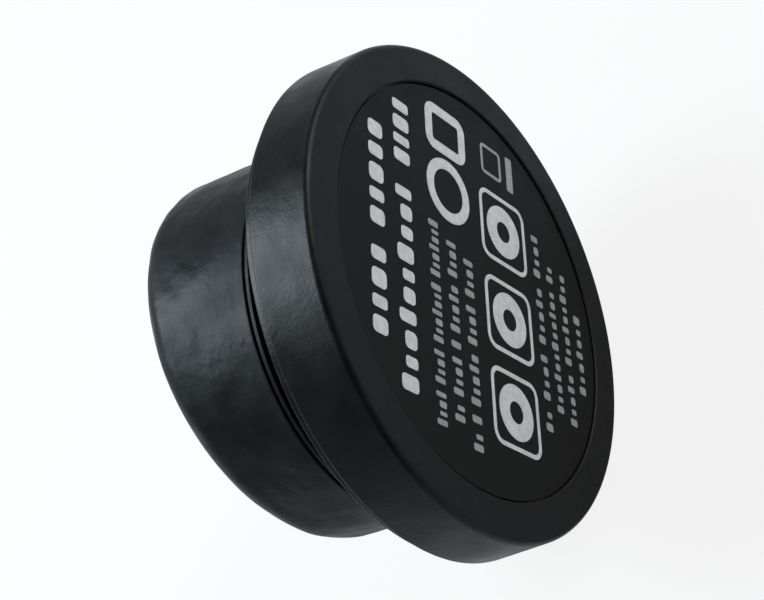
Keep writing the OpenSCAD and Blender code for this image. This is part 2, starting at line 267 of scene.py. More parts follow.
def loft(rings, sides=SIDES, closed=False):
    """A closed solid through rings of edges, each extruded from the one before.

    A ring is (radius, centre, lean): it lies across +Y and leans from there towards -X. A closed loft joins
    its last ring to its first, and any other is filled at both ends.
    """
    deselect()
    radius, centre, lean = rings[0]
    bpy.ops.mesh.primitive_circle_add(vertices=sides, radius=radius, fill_type="NOTHING", location=centre,
                                      rotation=(-math.pi / 2, 0, lean))
    piece = bpy.context.object
    apply_place()
    edit_mesh()
    select_mesh()
    for next_radius, next_centre, next_lean in rings[1:]:
        step = Vector(next_centre) - Vector(centre)
        bpy.ops.mesh.extrude_edges_move(TRANSFORM_OT_translate={"value": step})
        if next_radius != radius:
            factor = next_radius / radius
            resize((factor, factor, factor), next_centre)
        if next_lean != lean:
            rotate(lean - next_lean, "Z", next_centre)
        radius, centre, lean = next_radius, next_centre, next_lean
    if closed:
        select_mesh()
        bpy.ops.mesh.remove_doubles(threshold=1e-7)
    finish_mesh(fill=not closed)
    return piece


def turned(profile, sides=SIDES, closed=False):
    """A piece turned round +Y from a profile of (radius, y) points."""
    if closed:
        profile = profile + profile[:1]
    return loft([(r, (0, y, 0), 0.0) for r, y in profile], sides, closed)


def arc(centre, radius, start, end, count):
    """Points along an arc in a profile, from one angle to another in degrees."""
    angles = [math.radians(start + (end - start) * i / count) for i in range(count + 1)]
    return [(centre[0] + radius * math.cos(a), centre[1] + radius * math.sin(a)) for a in angles]


def apply_modifiers(piece):
    pick(piece)
    for name in [modifier.name for modifier in piece.modifiers]:
        bpy.ops.object.modifier_apply(modifier=name)


def combine(piece, tool, operation="DIFFERENCE"):
    """Cuts a tool out of a piece, or keeps only what the two share, and removes the tool."""
    modifier = piece.modifiers.new("combine", "BOOLEAN")
    modifier.operation = operation
    modifier.solver = "EXACT"
    modifier.object = tool
    apply_modifiers(piece)
    bpy.data.objects.remove(tool)
    return piece


def soften(piece, width, segments=2, angle=35):
    """Rounds a piece's sharp edges."""
    bevel = piece.modifiers.new("edges", "BEVEL")
    bevel.width = width
    bevel.segments = segments
    bevel.limit_method = "ANGLE"
    bevel.angle_limit = math.radians(angle)
    bevel.harden_normals = False
    apply_modifiers(piece)
    return piece


def join(pieces):
    """Joins pieces into one mesh, the first one's."""
    deselect()
    for piece in pieces:
        piece.select_set(True)
    bpy.context.view_layer.objects.active = pieces[0]
    if len(pieces) > 1:
        bpy.ops.object.join()
    return pieces[0]


def put(piece, place):
    """Moves a piece to a place and leaves its object at the origin."""
    piece.matrix_world = place @ piece.matrix_world
    pick(piece)
    apply_place()
    return piece


def copies(piece, places):
    """Copies of a piece, each with its own mesh, at the given places, as one mesh. The model is used up."""
    made = []
    for place in places:
        copy = piece.copy()
        copy.data = piece.data.copy()
        bpy.context.scene.collection.objects.link(copy)
        made.append(put(copy, place))
    bpy.data.objects.remove(piece)
    return join(made)


def round_axis(count, first=0.0):
    """Places evenly turned round +Y, the first one turned by first degrees."""
    return [Matrix.Rotation(math.radians(first) + i * math.tau / count, 4, "Y") for i in range(count)]


def slot_tool(centre, size, turn_y=0.0):
    """A block to cut a slot with."""
    deselect()
    bpy.ops.mesh.primitive_cube_add(size=1, location=centre)
    slot = bpy.context.object
    slot.scale = size
    slot.rotation_euler.y = turn_y
    apply_place()
    return slot


def fade_in(value, start, length):
    """A weight that rises from 0 to 1 over a length."""
    return min(1.0, max(0.0, (value - start) / length))


def cylinder(radius, low, high, x=0.0, z=0.0, sides=32):
    """A drill or a boss along +Y."""
    return loft([(radius, (x, low, z), 0.0), (radius, (x, high, z), 0.0)], sides)


def settle(piece, name, body, finish, replaced=(), angle=32):
    """Finishes a piece: its shading, name, finish, body and the CAD nodes that it stands for."""
    pick(piece)
    apply_place()
    bpy.ops.object.shade_smooth_by_angle(angle=math.radians(angle))
    normals = piece.modifiers.new("even shading", "WEIGHTED_NORMAL")
    normals.keep_sharp = True
    apply_modifiers(piece)
    piece.name = name
    piece.data.name = name
    piece.data.materials.clear()
    piece.data.materials.append(finish)
    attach(piece, body)
    if replaced:
        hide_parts(*replaced)


# ---- finishes ----

def new_finish(name, colour, roughness, specular=0.5, metallic=0.0):
    """A material with its plain values on the shader, and the node tree to add detail to."""
    material = bpy.data.materials.new(name)
    material.use_nodes = True
    tree = material.node_tree
    shader = tree.nodes["Principled BSDF"]
    for socket, value in (("Base Color", (*colour, 1)), ("Roughness", roughness),
                          ("Specular IOR Level", specular), ("Metallic", metallic)):
        shader.inputs[socket].default_value = value
    tree.nodes.new("ShaderNodeTexCoord").name = "Place"
    return material, tree, shader


def add_node(tree, kind, inputs, **settings):
    """A shader node, each of its inputs set to a value or linked to a socket."""
    node = tree.nodes.new("ShaderNode" + kind)
    for name, value in settings.items():
        setattr(node, name, value)
    for socket, value in inputs.items():
        if isinstance(value, bpy.types.NodeSocket):
            tree.links.new(value, node.inputs[socket])
        else:
            node.inputs[socket].default_value = value
    return node


def on_object(tree, stretch=(1, 1, 1), turned_by=(0, 0, 0)):
    """Object coordinates, stretched and turned."""
    place = tree.nodes["Place"].outputs["Object"]
    mapping = add_node(tree, "Mapping", {"Scale": stretch, "Rotation": turned_by, "Vector": place})
    return mapping.outputs["Vector"]


def noise(tree, size, detail=3.0, stretch=(1, 1, 1)):
    """Noise whose features are about size metres across."""
    return add_node(tree, "TexNoise", {"Scale": 1 / size, "Detail": detail,
                                       "Vector": on_object(tree, stretch)}).outputs["Fac"]


def between(tree, factor, low, high, start=0.35, end=0.65):
    """A value that runs from low to high as the factor runs from start to end."""
    return add_node(tree, "MapRange", {"Value": factor, "From Min": start, "From Max": end,
                                       "To Min": low, "To Max": high}).outputs["Result"]


def ramp(tree, factor, start, first, end, last):
    """A colour that runs from the first to the last as the factor runs from start to end."""
    node = tree.nodes.new("ShaderNodeValToRGB")
    for element, position, colour in zip(node.color_ramp.elements, (start, end), (first, last)):
        element.position = position
        element.color = (*colour, 1)
    tree.links.new(factor, node.inputs["Fac"])
    return node.outputs["Color"]


def mottled(tree, shader, factor, colour, dark, light, start=0.3, end=0.7):
    """Runs the base colour from a darker to a lighter shade with the factor."""
    shades = ramp(tree, factor, start, shade(colour, dark), end, shade(colour, light))
    tree.links.new(shades, shader.inputs["Base Color"])


def sheen(tree, shader, factor, low, high):
    """Runs the roughness from low to high with the factor."""
    tree.links.new(between(tree, factor, low, high), shader.inputs["Roughness"])


def relief(tree, shader, height, depth):
    """Adds a bump to the shader's normal, over any bump that is there already."""
    bump = add_node(tree, "Bump", {"Height": height, "Distance": depth, "Strength": 1.0})
    below = shader.inputs["Normal"]
    if below.is_linked:
        tree.links.new(below.links[0].from_socket, bump.inputs["Normal"])
    tree.links.new(bump.outputs["Normal"], below)


def colours():
    return bpy.context.scene.pump_colours


def shade(colour, factor):
    return tuple(channel * factor for channel in colour)


def shell_finish():
    """Moulded black plastic with a soft uneven sheen, duller on the face towards the glass."""
    material, tree, shader = new_finish("Casing plastic", colours().shell, 0.4, 0.17)
    clouds = noise(tree, 7 * MM, 4)
    mottled(tree, shader, clouds, colours().shell, 0.8, 1.25)
    split = add_node(tree, "SeparateXYZ", {0: tree.nodes["Place"].outputs["Object"]})
    duller = between(tree, split.outputs["Y"], 0.26, 0.0, 0.02 * MM, 0.3 * MM)
    total = add_node(tree, "Math", {0: between(tree, clouds, 0.32, 0.44), 1: duller})
    tree.links.new(total.outputs[0], shader.inputs["Roughness"])
    relief(tree, shader, noise(tree, 5 * MM, 3), 0.13 * MM)
    relief(tree, shader, noise(tree, 0.5 * MM, 2), 0.022 * MM)
    return material


def label_finish():
    """Matt black film."""
    material, tree, shader = new_finish("Label film", colours().label, 0.68, 0.11)
    clouds = noise(tree, 9 * MM, 3)
    mottled(tree, shader, clouds, colours().label, 0.88, 1.12)
    sheen(tree, shader, clouds, 0.64, 0.74)
    relief(tree, shader, noise(tree, 0.2 * MM, 2), 0.003 * MM)
    return material


def ink_finish(name, colour):
    """Light grey screen print, a little uneven."""
    material, tree, shader = new_finish(name, colour, 0.55, 0.3)
    mottled(tree, shader, noise(tree, 1.2 * MM, 4), colour, 0.86, 1.08)
    relief(tree, shader, noise(tree, 0.15 * MM, 2), 0.002 * MM)
    return material


def rubber_finish():
    """Satin rubber with hand marks and a fine grain."""
    material, tree, shader = new_finish("Sleeve rubber", colours().rubber, 0.42, 0.115)
    marks = noise(tree, 8 * MM, 5, (1, 0.6, 1))
    mottled(tree, shader, marks, colours().rubber, 0.72, 1.35)
    sheen(tree, shader, marks, 0.35, 0.5)
    relief(tree, shader, noise(tree, 3.4 * MM, 3), 0.21 * MM)
    relief(tree, shader, noise(tree, 0.3 * MM, 2), 0.008 * MM)
    return material


def moulded(name, colour, roughness, specular=0.4, grain=0.3 * MM, depth=0.005 * MM):
    """Plain moulded plastic, rubber or resin with slight shading and a grain."""
    material, tree, shader = new_finish(name, colour, roughness, specular)
    clouds = noise(tree, 5 * MM, 4)
    mottled(tree, shader, clouds, colour, 0.85, 1.15)
    sheen(tree, shader, clouds, roughness - 0.06, roughness + 0.08)
    relief(tree, shader, noise(tree, grain, 2), depth)
    return material


def brushed(name, colour, roughness, stretch, size=0.5 * MM, depth=0.004 * MM):
    """Metal with fine lines, which run along the axis that is stretched least."""
    material, tree, shader = new_finish(name, colour, roughness, 0.5, 1.0)
    lines = noise(tree, size, 5, stretch)
    mottled(tree, shader, lines, colour, 0.8, 1.1)
    sheen(tree, shader, lines, roughness - 0.08, roughness + 0.12)
    relief(tree, shader, lines, depth)
    return material


def banded(name, colour, roughness, pitch, metallic, direction, turn_z=0.0):
    """Metal in even bands, such as stacked sheets or wound wire."""
    material, tree, shader = new_finish(name, colour, roughness, 0.5, metallic)
    wave = add_node(tree, "TexWave", {"Scale": 0.314 / pitch, "Distortion": 0.4,
                                      "Vector": on_object(tree, turned_by=(0, 0, turn_z))},
                    bands_direction=direction)
    mottled(tree, shader, wave.outputs["Fac"], colour, 0.45, 1.1, 0.1, 0.6)
    relief(tree, shader, wave.outputs["Fac"], 0.08 * MM)
    return material


def board_finish():
    """Green solder mask over copper tracks."""
    green = (0.012, 0.10, 0.045)
    material, tree, shader = new_finish("Solder mask", green, 0.3, 0.5)
    tracks = add_node(tree, "TexBrick", {
        "Scale": 140, "Mortar Size": 0.035, "Color1": (*green, 1), "Color2": (*shade(green, 0.8), 1),
        "Mortar": (0.03, 0.19, 0.08, 1), "Vector": on_object(tree, turned_by=(math.pi / 2, 0, 0))})
    tree.links.new(tracks.outputs["Color"], shader.inputs["Base Color"])
    relief(tree, shader, tracks.outputs["Fac"], 0.03 * MM)
    return material


def dress(finishes):
    """Gives CAD nodes that stay as they are their finish."""
    for node, material in finishes.items():
        mesh = frame["nodes"][node].data
        mesh.materials.clear()
        mesh.materials.append(material)


# ---- base ----

class PUMP_OT_base_casing(bpy.types.Operator):
    """Round cup with a rounded edge at the glass, a recess for the label and bosses for the screws"""
    bl_idname = "pump.base_casing"
    bl_label = "Base casing"

    def execute(self, context):
        sizes = context.scene.pump_base
        back = sizes.back_radius
        front = back - sizes.taper
        inner = front - sizes.rim_wall + 0.6 * MM
        edge, depth, thick, recess = sizes.edge, sizes.recess_depth, sizes.thickness, sizes.recess_radius
        chamfer, rounding = 0.22 * MM, 0.4 * MM
        profile = [(recess, depth), (recess, chamfer), (recess + chamfer, 0)]
        profile += arc((front - edge, edge), edge, -90, 0, 10) + [(back, thick - 0.5 * MM)]
        profile += arc((back - rounding, thick - rounding), rounding, 20, 90, 4)
        profile += [(inner, thick), (inner, sizes.floor)]
        casing = turned(profile)
        boss_radius, hole_radius, hole_depth = 2.7 * MM, 1.05 * MM, 6.5 * MM
        boss = cylinder(boss_radius, sizes.floor - 0.1 * MM, thick - 0.05 * MM, x=sizes.screw_circle)
        hole = cylinder(hole_radius, thick - hole_depth, thick + 1 * MM, x=sizes.screw_circle, sides=20)
        bosses = copies(combine(boss, hole), round_axis(sizes.screws, -30))
        settle(join([casing, bosses]), "base_casing", "base",
               shell_finish(), ["base_shell"])
        return {"FINISHED"}


class PUMP_OT_label_disc(bpy.types.Operator):
    """Thin disc of matt film in the recess"""
    bl_idname = "pump.label_disc"
    bl_label = "Label disc"

    def execute(self, context):
        radius, top, back = reach("label_plate"), low_y("label_plate"), high_y("label_plate")
        rounding = 0.12 * MM
        profile = [(radius - 2 * MM, top)] + arc((radius - rounding, top + rounding), rounding, -90, 0, 4)
        profile += [(radius, back - 0.02 * MM), (radius - 2 * MM, back - 0.02 * MM)]
        settle(turned(profile), "label_disc", "base",
               label_finish(), ["label_plate"])
        return {"FINISHED"}


class PrintSheet:
    """Flat printed shapes on the label, drawn in one mesh and raised together. It is given millimetres."""

    def __init__(self, surface):
        self.y = surface
        deselect()
        bpy.ops.mesh.primitive_plane_add(size=1 * MM, location=(0, surface, 0))
        self.piece = bpy.context.object
        edit_mesh()
        bpy.ops.mesh.delete(type="VERT")

    def block(self, x, z, width, height, rounding):
        """A block with rounded corners, centred on x and z."""
        centre = (x * MM, self.y, z * MM)
        select_mesh("DESELECT")
        bpy.ops.mesh.primitive_plane_add(size=1, location=centre, rotation=(math.pi / 2, 0, 0))
        resize((width * MM, 1, height * MM), centre)
        bpy.ops.mesh.bevel(offset=rounding * MM, segments=6, affect="VERTICES", clamp_overlap=True)

    def row(self, left, right, base, height, words, low=0.72, gap=0.42):
        """Words on a base line from left to right, each a run of plain blocks in place of its letters."""
        blocks, x = [], 0.0
        between_words = 0.8
        for count in words:
            for i in range(count):
                width = (0.9, 0.65, 1.0, 0.75)[i % 4]
                blocks.append((x + width / 2, width, 1.0 if i % 3 == 0 else low))
                x += width + gap
            x += between_words
        scale = (right - left) / (x - gap - between_words)
        for middle, width, share in blocks:
            self.block(left + middle * scale, base + height * share / 2, width * scale, height * share,
                       0.3 * min(width * scale, height))

    def disc(self, x, z, radius):
        select_mesh("DESELECT")
        bpy.ops.mesh.primitive_circle_add(vertices=64, radius=radius * MM, fill_type="NGON",
                                          location=(x * MM, self.y, z * MM), rotation=(math.pi / 2, 0, 0))

    def hollow(self, stroke):
        """Leaves only a line of the shape that was drawn last."""
        bpy.ops.mesh.inset(thickness=stroke * MM)
        bpy.ops.mesh.delete(type="FACE")

    def raised(self, film):
        """Raises every shape towards the glass and returns the piece."""
        select_mesh()
        bpy.ops.mesh.extrude_region_move(TRANSFORM_OT_translate={"value": FACING_GLASS * film})
        finish_mesh(fill=False)
        return self.piece


class PUMP_OT_label_print(bpy.types.Operator):
    """Generic print: rows of plain blocks, two large plain marks and three plain signs"""
    bl_idname = "pump.label_print"
    bl_label = "Label print"

    def execute(self, context):
        sizes = context.scene.pump_label
        surface = low_y("label_plate") + 0.01 * MM
        bold, thin, stroke = sizes.bold / MM, sizes.thin / MM, sizes.stroke / MM
        tiny, mark_stroke, mark_corner = thin * 0.8, 1.9, 2.4
        sheet = PrintSheet(surface)
        sheet.row(-17.6, 18.9, 24.1, bold, [4, 5], 1.0)
        sheet.row(-24.5, 10, 17.2, bold * 1.15, [10])
        sheet.row(14.5, 26, 17.2, bold * 1.15, [4], 1.0)
        sheet.disc(14.8, 7, 5.8)
        sheet.hollow(mark_stroke)
        sheet.block(26, 7, 9, 11, mark_corner)
        sheet.hollow(mark_stroke)
        sign, sign_z = 13.4, -8.6
        for x in (-19.2, -2.8, 13.8):
            sheet.block(x, sign_z, sign, sign, mark_corner)
            sheet.hollow(stroke)
            sheet.disc(x, sign_z, 4.8)
            sheet.hollow(2.9)
        settle(sheet.raised(sizes.film), "label_print", "base",
               ink_finish("Printing ink", colours().ink))
        sheet = PrintSheet(surface)
        for left, right, base, height, words in (
                (-27.5, 7.3, 10.5, thin, [4, 4, 7, 7]), (-25.5, 5.3, 5.9, thin, [2, 4, 1, 5, 4]),
                (-29, 3.8, 1.4, thin, [2, 1, 5, 4, 4]), (-19.5, 17.2, -19.4, tiny, [2, 4, 5, 4]),
                (-15, 12.6, -23.4, tiny, [12, 2]), (-16.2, 12.6, -27.4, tiny, [5, 9]),
                (-9.2, 5.9, -31.4, tiny, [7])):
            sheet.row(left, right, base, height, words, 0.7, 0.56)
        sheet.block(26.6, -6.2, 6, 6, 1)
        sheet.hollow(stroke * 0.8)
        sheet.block(26.6, -11.8, 7, 1.9, 0.4)
        settle(sheet.raised(sizes.film), "label_fine_print", "base",
               ink_finish("Fine printing ink", colours().fine_ink))
        return {"FINISHED"}


def pan_screw(head_radius, head_height, shank_radius, depth):
    """A pan-head screw with a cross recess, its head's underside at y = 0 and its top towards +Y."""
    crown = [(head_radius * math.cos(a), head_height * (0.25 + 0.75 * math.sin(a)))
             for a in map(math.radians, range(0, 86, 12))]
    profile = [(shank_radius * 0.6, -depth), (shank_radius, -depth + shank_radius), (shank_radius, 0),
               (head_radius * 0.98, 0)] + crown
    screw = turned(profile, 40)
    for quarter in (0, 1):
        slot = slot_tool((0, head_height, 0), (head_radius * 1.15, head_height * 1.2, head_radius * 0.27),
                         quarter * math.pi / 2)
        combine(screw, slot)
    return soften(screw, 0.04 * MM, 1, 50)


def fit_screws(screw, place, around, name, body, node, tilt=Matrix()):
    """Copies a screw from its place round the axis, tilts the set and finishes it."""
    put(screw, place)
    steel = brushed("Stainless steel", (0.4, 0.4, 0.41), 0.34, (1, 1, 1), 0.12 * MM, 0.001 * MM)
    settle(put(copies(screw, around), tilt), name, body, steel, [node])


class PUMP_OT_base_plate(bpy.types.Operator):
    """Back plate of the base with the collar that the head turns in, and its screws"""
    bl_idname = "pump.base_plate"
    bl_label = "Base plate"

    def execute(self, context):
        sizes = context.scene.pump_base
        low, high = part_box("base_plate")
        radius, top = sizes.plate_radius, low.y + 1.9 * MM
        collar, chamber, bore = 27 * MM, 24.6 * MM, 21.58 * MM
        lip = high.y - 1.1 * MM
        profile = [(radius - 3 * MM, low.y), (radius, low.y)]
        profile += arc((radius - 0.4 * MM, top - 0.4 * MM), 0.4 * MM, 0, 90, 5)
        profile += [(collar + 0.5 * MM, top), (collar, top + 0.5 * MM), (collar, high.y - 0.2 * MM),
                    (collar - 0.2 * MM, high.y), (bore, high.y), (bore, lip), (chamber, lip), (chamber, top)]
        plate = turned(profile)
        circle = sizes.screw_circle
        sink_depth = 1 * MM
        sink = cylinder(2.3 * MM, top - sink_depth, top + sink_depth, x=circle)
        combine(plate, copies(sink, round_axis(sizes.screws, -30)))
        settle(plate, "base_back_plate", "base", shell_finish(), ["base_plate"])
        fit_screws(pan_screw(2.1 * MM, 0.9 * MM, 1 * MM, 6 * MM),
                   Matrix.Translation((circle, top - sink_depth, 0)), round_axis(sizes.screws, -30),
                   "base_plate_screws", "base", "base_screws")
        return {"FINISHED"}


# ---- head ----

class PUMP_OT_rear_cover(bpy.types.Operator):
    """Rear cover of the motor, whose rim is the thin lip behind the sleeve, and its screws"""
    bl_idname = "pump.rear_cover"
    bl_label = "Rear cover"

    def execute(self, context):
        sizes = context.scene.pump_head
        rim = sizes.lip_radius
        back = low_y("cover_screws") - 0.1 * MM
        seat = low_y("can_seal") - 0.02 * MM
        low = low_y("rear_cover")
        stub, bore = 21.5 * MM, 17.5 * MM
        lip_low, lip_high, rounding = back + 0.65 * MM, back + 1.5 * MM, 0.2 * MM
        clip_low, clip_high = low_y("swivel_clip") - 0.1 * MM, high_y("swivel_clip") + 0.1 * MM
        ring_floor, clip_floor, inner_rim = stub - 0.85 * MM, stub - 1.2 * MM, rim - 1.4 * MM
        profile = [(20 * MM, seat), (sizes.can_radius, seat), (sizes.can_radius, lip_high)]
        profile += arc((rim - rounding, lip_high - rounding), rounding, 90, 0, 4)
        profile += arc((rim - rounding, lip_low + rounding), rounding, 0, -90, 4)
        profile += [(inner_rim, lip_low), (inner_rim, back), (stub, back), (stub, back - 1.2 * MM),
                    (ring_floor, back - 1.2 * MM), (ring_floor, back - 2.1 * MM), (stub, back - 2.1 * MM),
                    (stub, clip_high), (clip_floor, clip_high), (clip_floor, clip_low), (stub, clip_low),
                    (stub, low), (bore, low), (bore, back - 0.6 * MM)]
        cover = turned(profile)
        circle = 26.9 * MM
        around = round_axis(6)
        sink_depth = 1 * MM
        sink = cylinder(2 * MM, back - sink_depth, back + sink_depth, x=circle)
        combine(cover, copies(sink, around))
        settle(cover, "motor_rear_cover", "head",
               moulded("Housing plastic", colours().housing, 0.45, 0.12), ["rear_cover"])
        turned_over = Matrix.Translation((circle, back + sink_depth, 0)) @ Matrix.Rotation(math.pi, 4, "Z")
        fit_screws(pan_screw(1.8 * MM, 0.9 * MM, 0.75 * MM, 6 * MM), turned_over, around,
                   "motor_cover_screws", "head", "cover_screws")
        return {"FINISHED"}


class PUMP_OT_sleeve(bpy.types.Operator):
    """Rubber sleeve, straight at its rear end and leaning with the jet at its rounded front"""
    bl_idname = "pump.sleeve"
    bl_label = "Rubber sleeve"

    def execute(self, context):
        sizes = context.scene.pump_head
        rear_y = low_y("rubber_sleeve")
        edge, front, mouth, lip = sizes.edge, sizes.front_radius, sizes.mouth, sizes.lip
        inner = sizes.can_radius + 0.1 * MM
        rear = Vector((0, rear_y, 0))
        off_axis = Vector((-0.35 * MM, 0, 0))      # the shoulder sits a little off the jet's axis
        shoulder = FACE_CENTRE - JET * edge + off_axis
        side_rings, front_rings = 40, 14
        start_radius = sizes.rear_radius
        rings = [(start_radius - inset * MM, rear + Vector((0, height * MM, 0)), 0.0)
                 for inset, height in ((0.2, 0), (0.06, 0.07), (0, 0.22))]
        start = rings[-1][1]
        for i in range(1, side_rings + 1):
            t = i / side_rings
            rings.append((start_radius + (front - start_radius) * t, start.lerp(shoulder, t), LEAN * t))
        for i in range(1, front_rings + 1):
            a = math.pi / 2 * i / front_rings
            across = shoulder.lerp(FACE_CENTRE, i / front_rings).x
            centre = Vector((across, (FACE_CENTRE - JET * edge * (1 - math.sin(a))).y, 0))
            rings.append((front - edge + edge * math.cos(a), centre, LEAN))
        rounding = 0.45 * MM
        for a in (math.pi / 2 * i / 4 for i in range(5)):
            rings.append((mouth + rounding - rounding * math.sin(a),
                          FACE_CENTRE - JET * rounding * (1 - math.cos(a)), LEAN))
        behind_lip = FACE_CENTRE - JET * lip
        rings.append((mouth, behind_lip, LEAN))
        rings += [(inner, behind_lip.lerp(rear, i / 6), LEAN * (1 - i / 6)) for i in range(7)]
        rings.append(rings[0])
        sleeve = loft(rings, 240, closed=True)
        skin = sleeve.vertex_groups.new(name="skin")
        for vertex in sleeve.data.vertices:
            out = math.hypot(vertex.co.x, vertex.co.z)
            weight = fade_in(out, inner + 0.6 * MM, 1.4 * MM) * fade_in(vertex.co.y, rear_y, 1.5 * MM)
            skin.add([vertex.index], weight, "REPLACE")
        for size, height in ((8.5 * MM, sizes.wave), (3.2 * MM, sizes.wave * 0.22)):
            clouds = bpy.data.textures.new("Rubber waves", "CLOUDS")
            clouds.noise_scale = size
            clouds.noise_depth = 1
            waves = sleeve.modifiers.new("waves", "DISPLACE")
            waves.texture = clouds
            waves.texture_coords = "LOCAL"
            waves.vertex_group = skin.name
            waves.strength = height
            waves.mid_level = 0.62
        apply_modifiers(sleeve)
        sleeve.vertex_groups.clear()
        gland_hole = cylinder(5.7 * MM, 24 * MM, 40 * MM, sides=48)
        combine(sleeve, put(gland_hole, ON_GLAND))
        settle(sleeve, "rubber_sleeve_skin", "head",
               rubber_finish(), ["rubber_sleeve"], 40)
        return {"FINISHED"}


class PUMP_OT_cable_gland(bpy.types.Operator):
    """Hexagonal nut with a domed end over the cable gland"""
    bl_idname = "pump.cable_gland"
    bl_label = "Cable gland nut"

    def execute(self, context):
        low, high = -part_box("gland_nut")[1].z, -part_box("gland_nut")[0].z
        radius, thread_radius, under = 6.4 * MM, 4 * MM, low - 1 * MM
        nut = cylinder(radius, low, high, sides=6)
        outside, rounding = radius + 0.2 * MM, 2.6 * MM
        dome = [(radius * 0.9, under), (outside, under), (outside, high - rounding)]
        dome += arc((radius - 2.7 * MM, high - rounding), rounding, 8, 90, 8)
        combine(nut, turned(dome, 96), "INTERSECT")
        combine(nut, cylinder(thread_radius, under, high - 1.15 * MM, sides=48))
        combine(nut, turned([(CABLE_R + 0.2 * MM, under), (CABLE_R + 0.2 * MM, high - 0.5 * MM),
                             (CABLE_R + 0.9 * MM, high + 0.2 * MM)], 48))
        soften(nut, 0.12 * MM, 2, 28)
        put(nut, ON_GLAND)
        settle(nut, "cable_gland_nut", "head",
               moulded("Gland plastic", colours().guard, 0.45, 0.2), ["gland_nut"])
        return {"FINISHED"}


class PUMP_OT_nozzle(bpy.types.Operator):
    """Ring that guides the jet out through the guard"""
    bl_idname = "pump.nozzle"
    bl_label = "Nozzle ring"

    def execute(self, context):
        low, high = along_jet("nozzle_ring")
        inside = context.scene.pump_guard.throat
        outside = inside + 1.4 * MM
        profile = [(inside, high)] + arc((inside + 0.9 * MM, low + 0.9 * MM), 0.9 * MM, 180, 270, 6)
        profile += arc((outside - 0.3 * MM, low + 0.3 * MM), 0.3 * MM, -90, 0, 4) + [(outside, high)]
        nozzle = put(turned(profile, 128, closed=True), ON_JET)
        settle(nozzle, "jet_nozzle_ring", "head",
               moulded("Nozzle plastic", colours().guard, 0.45, 0.2), ["nozzle_ring"])
        return {"FINISHED"}


BAR_CORNER = 0.35 * MM      # rounding of the guard's rings and bars


def guard_ring(radius, centre_y, outer, depth, width):
    """A ring of the dome, its rounded section square to the dome's skin."""
    tilt = math.asin(radius / outer)
    middle = outer - depth / 2
    ring_radius, ring_y = middle * math.sin(tilt), centre_y + middle * math.cos(tilt)
    section = []
    half_w, half_d = width / 2 - BAR_CORNER, depth / 2 - BAR_CORNER
    for side_x, side_y, start in ((1, 1, 0), (-1, 1, 90), (-1, -1, 180), (1, -1, 270)):
        section += arc((side_x * half_w, side_y * half_d), BAR_CORNER, start, start + 90, 3)
    cos, sin = math.cos(-tilt), math.sin(-tilt)
    profile = [(ring_radius + x * cos - y * sin, ring_y + x * sin + y * cos) for x, y in section]
    return turned(profile, 96, closed=True)


def guard_bar(centre_y, outer, depth, width, half_angle):
    """A bar across the dome, spun from a rounded section about the dome's centre."""
    deselect()
    centre = (0, outer - depth / 2, 0)
    bpy.ops.mesh.primitive_plane_add(size=1, location=centre)
    bar = bpy.context.object
    edit_mesh()
    rotate(math.pi / 2, "Y", centre)
    resize((1, depth, width), centre)
    bpy.ops.mesh.bevel(offset=BAR_CORNER, segments=3, affect="VERTICES")
    rotate(half_angle, "Z")
    bpy.ops.mesh.spin(steps=36, angle=-2 * half_angle, center=(0, 0, 0), axis=(0, 0, 1))
    finish_mesh()
    return put(bar, Matrix.Translation((0, centre_y, 0)))


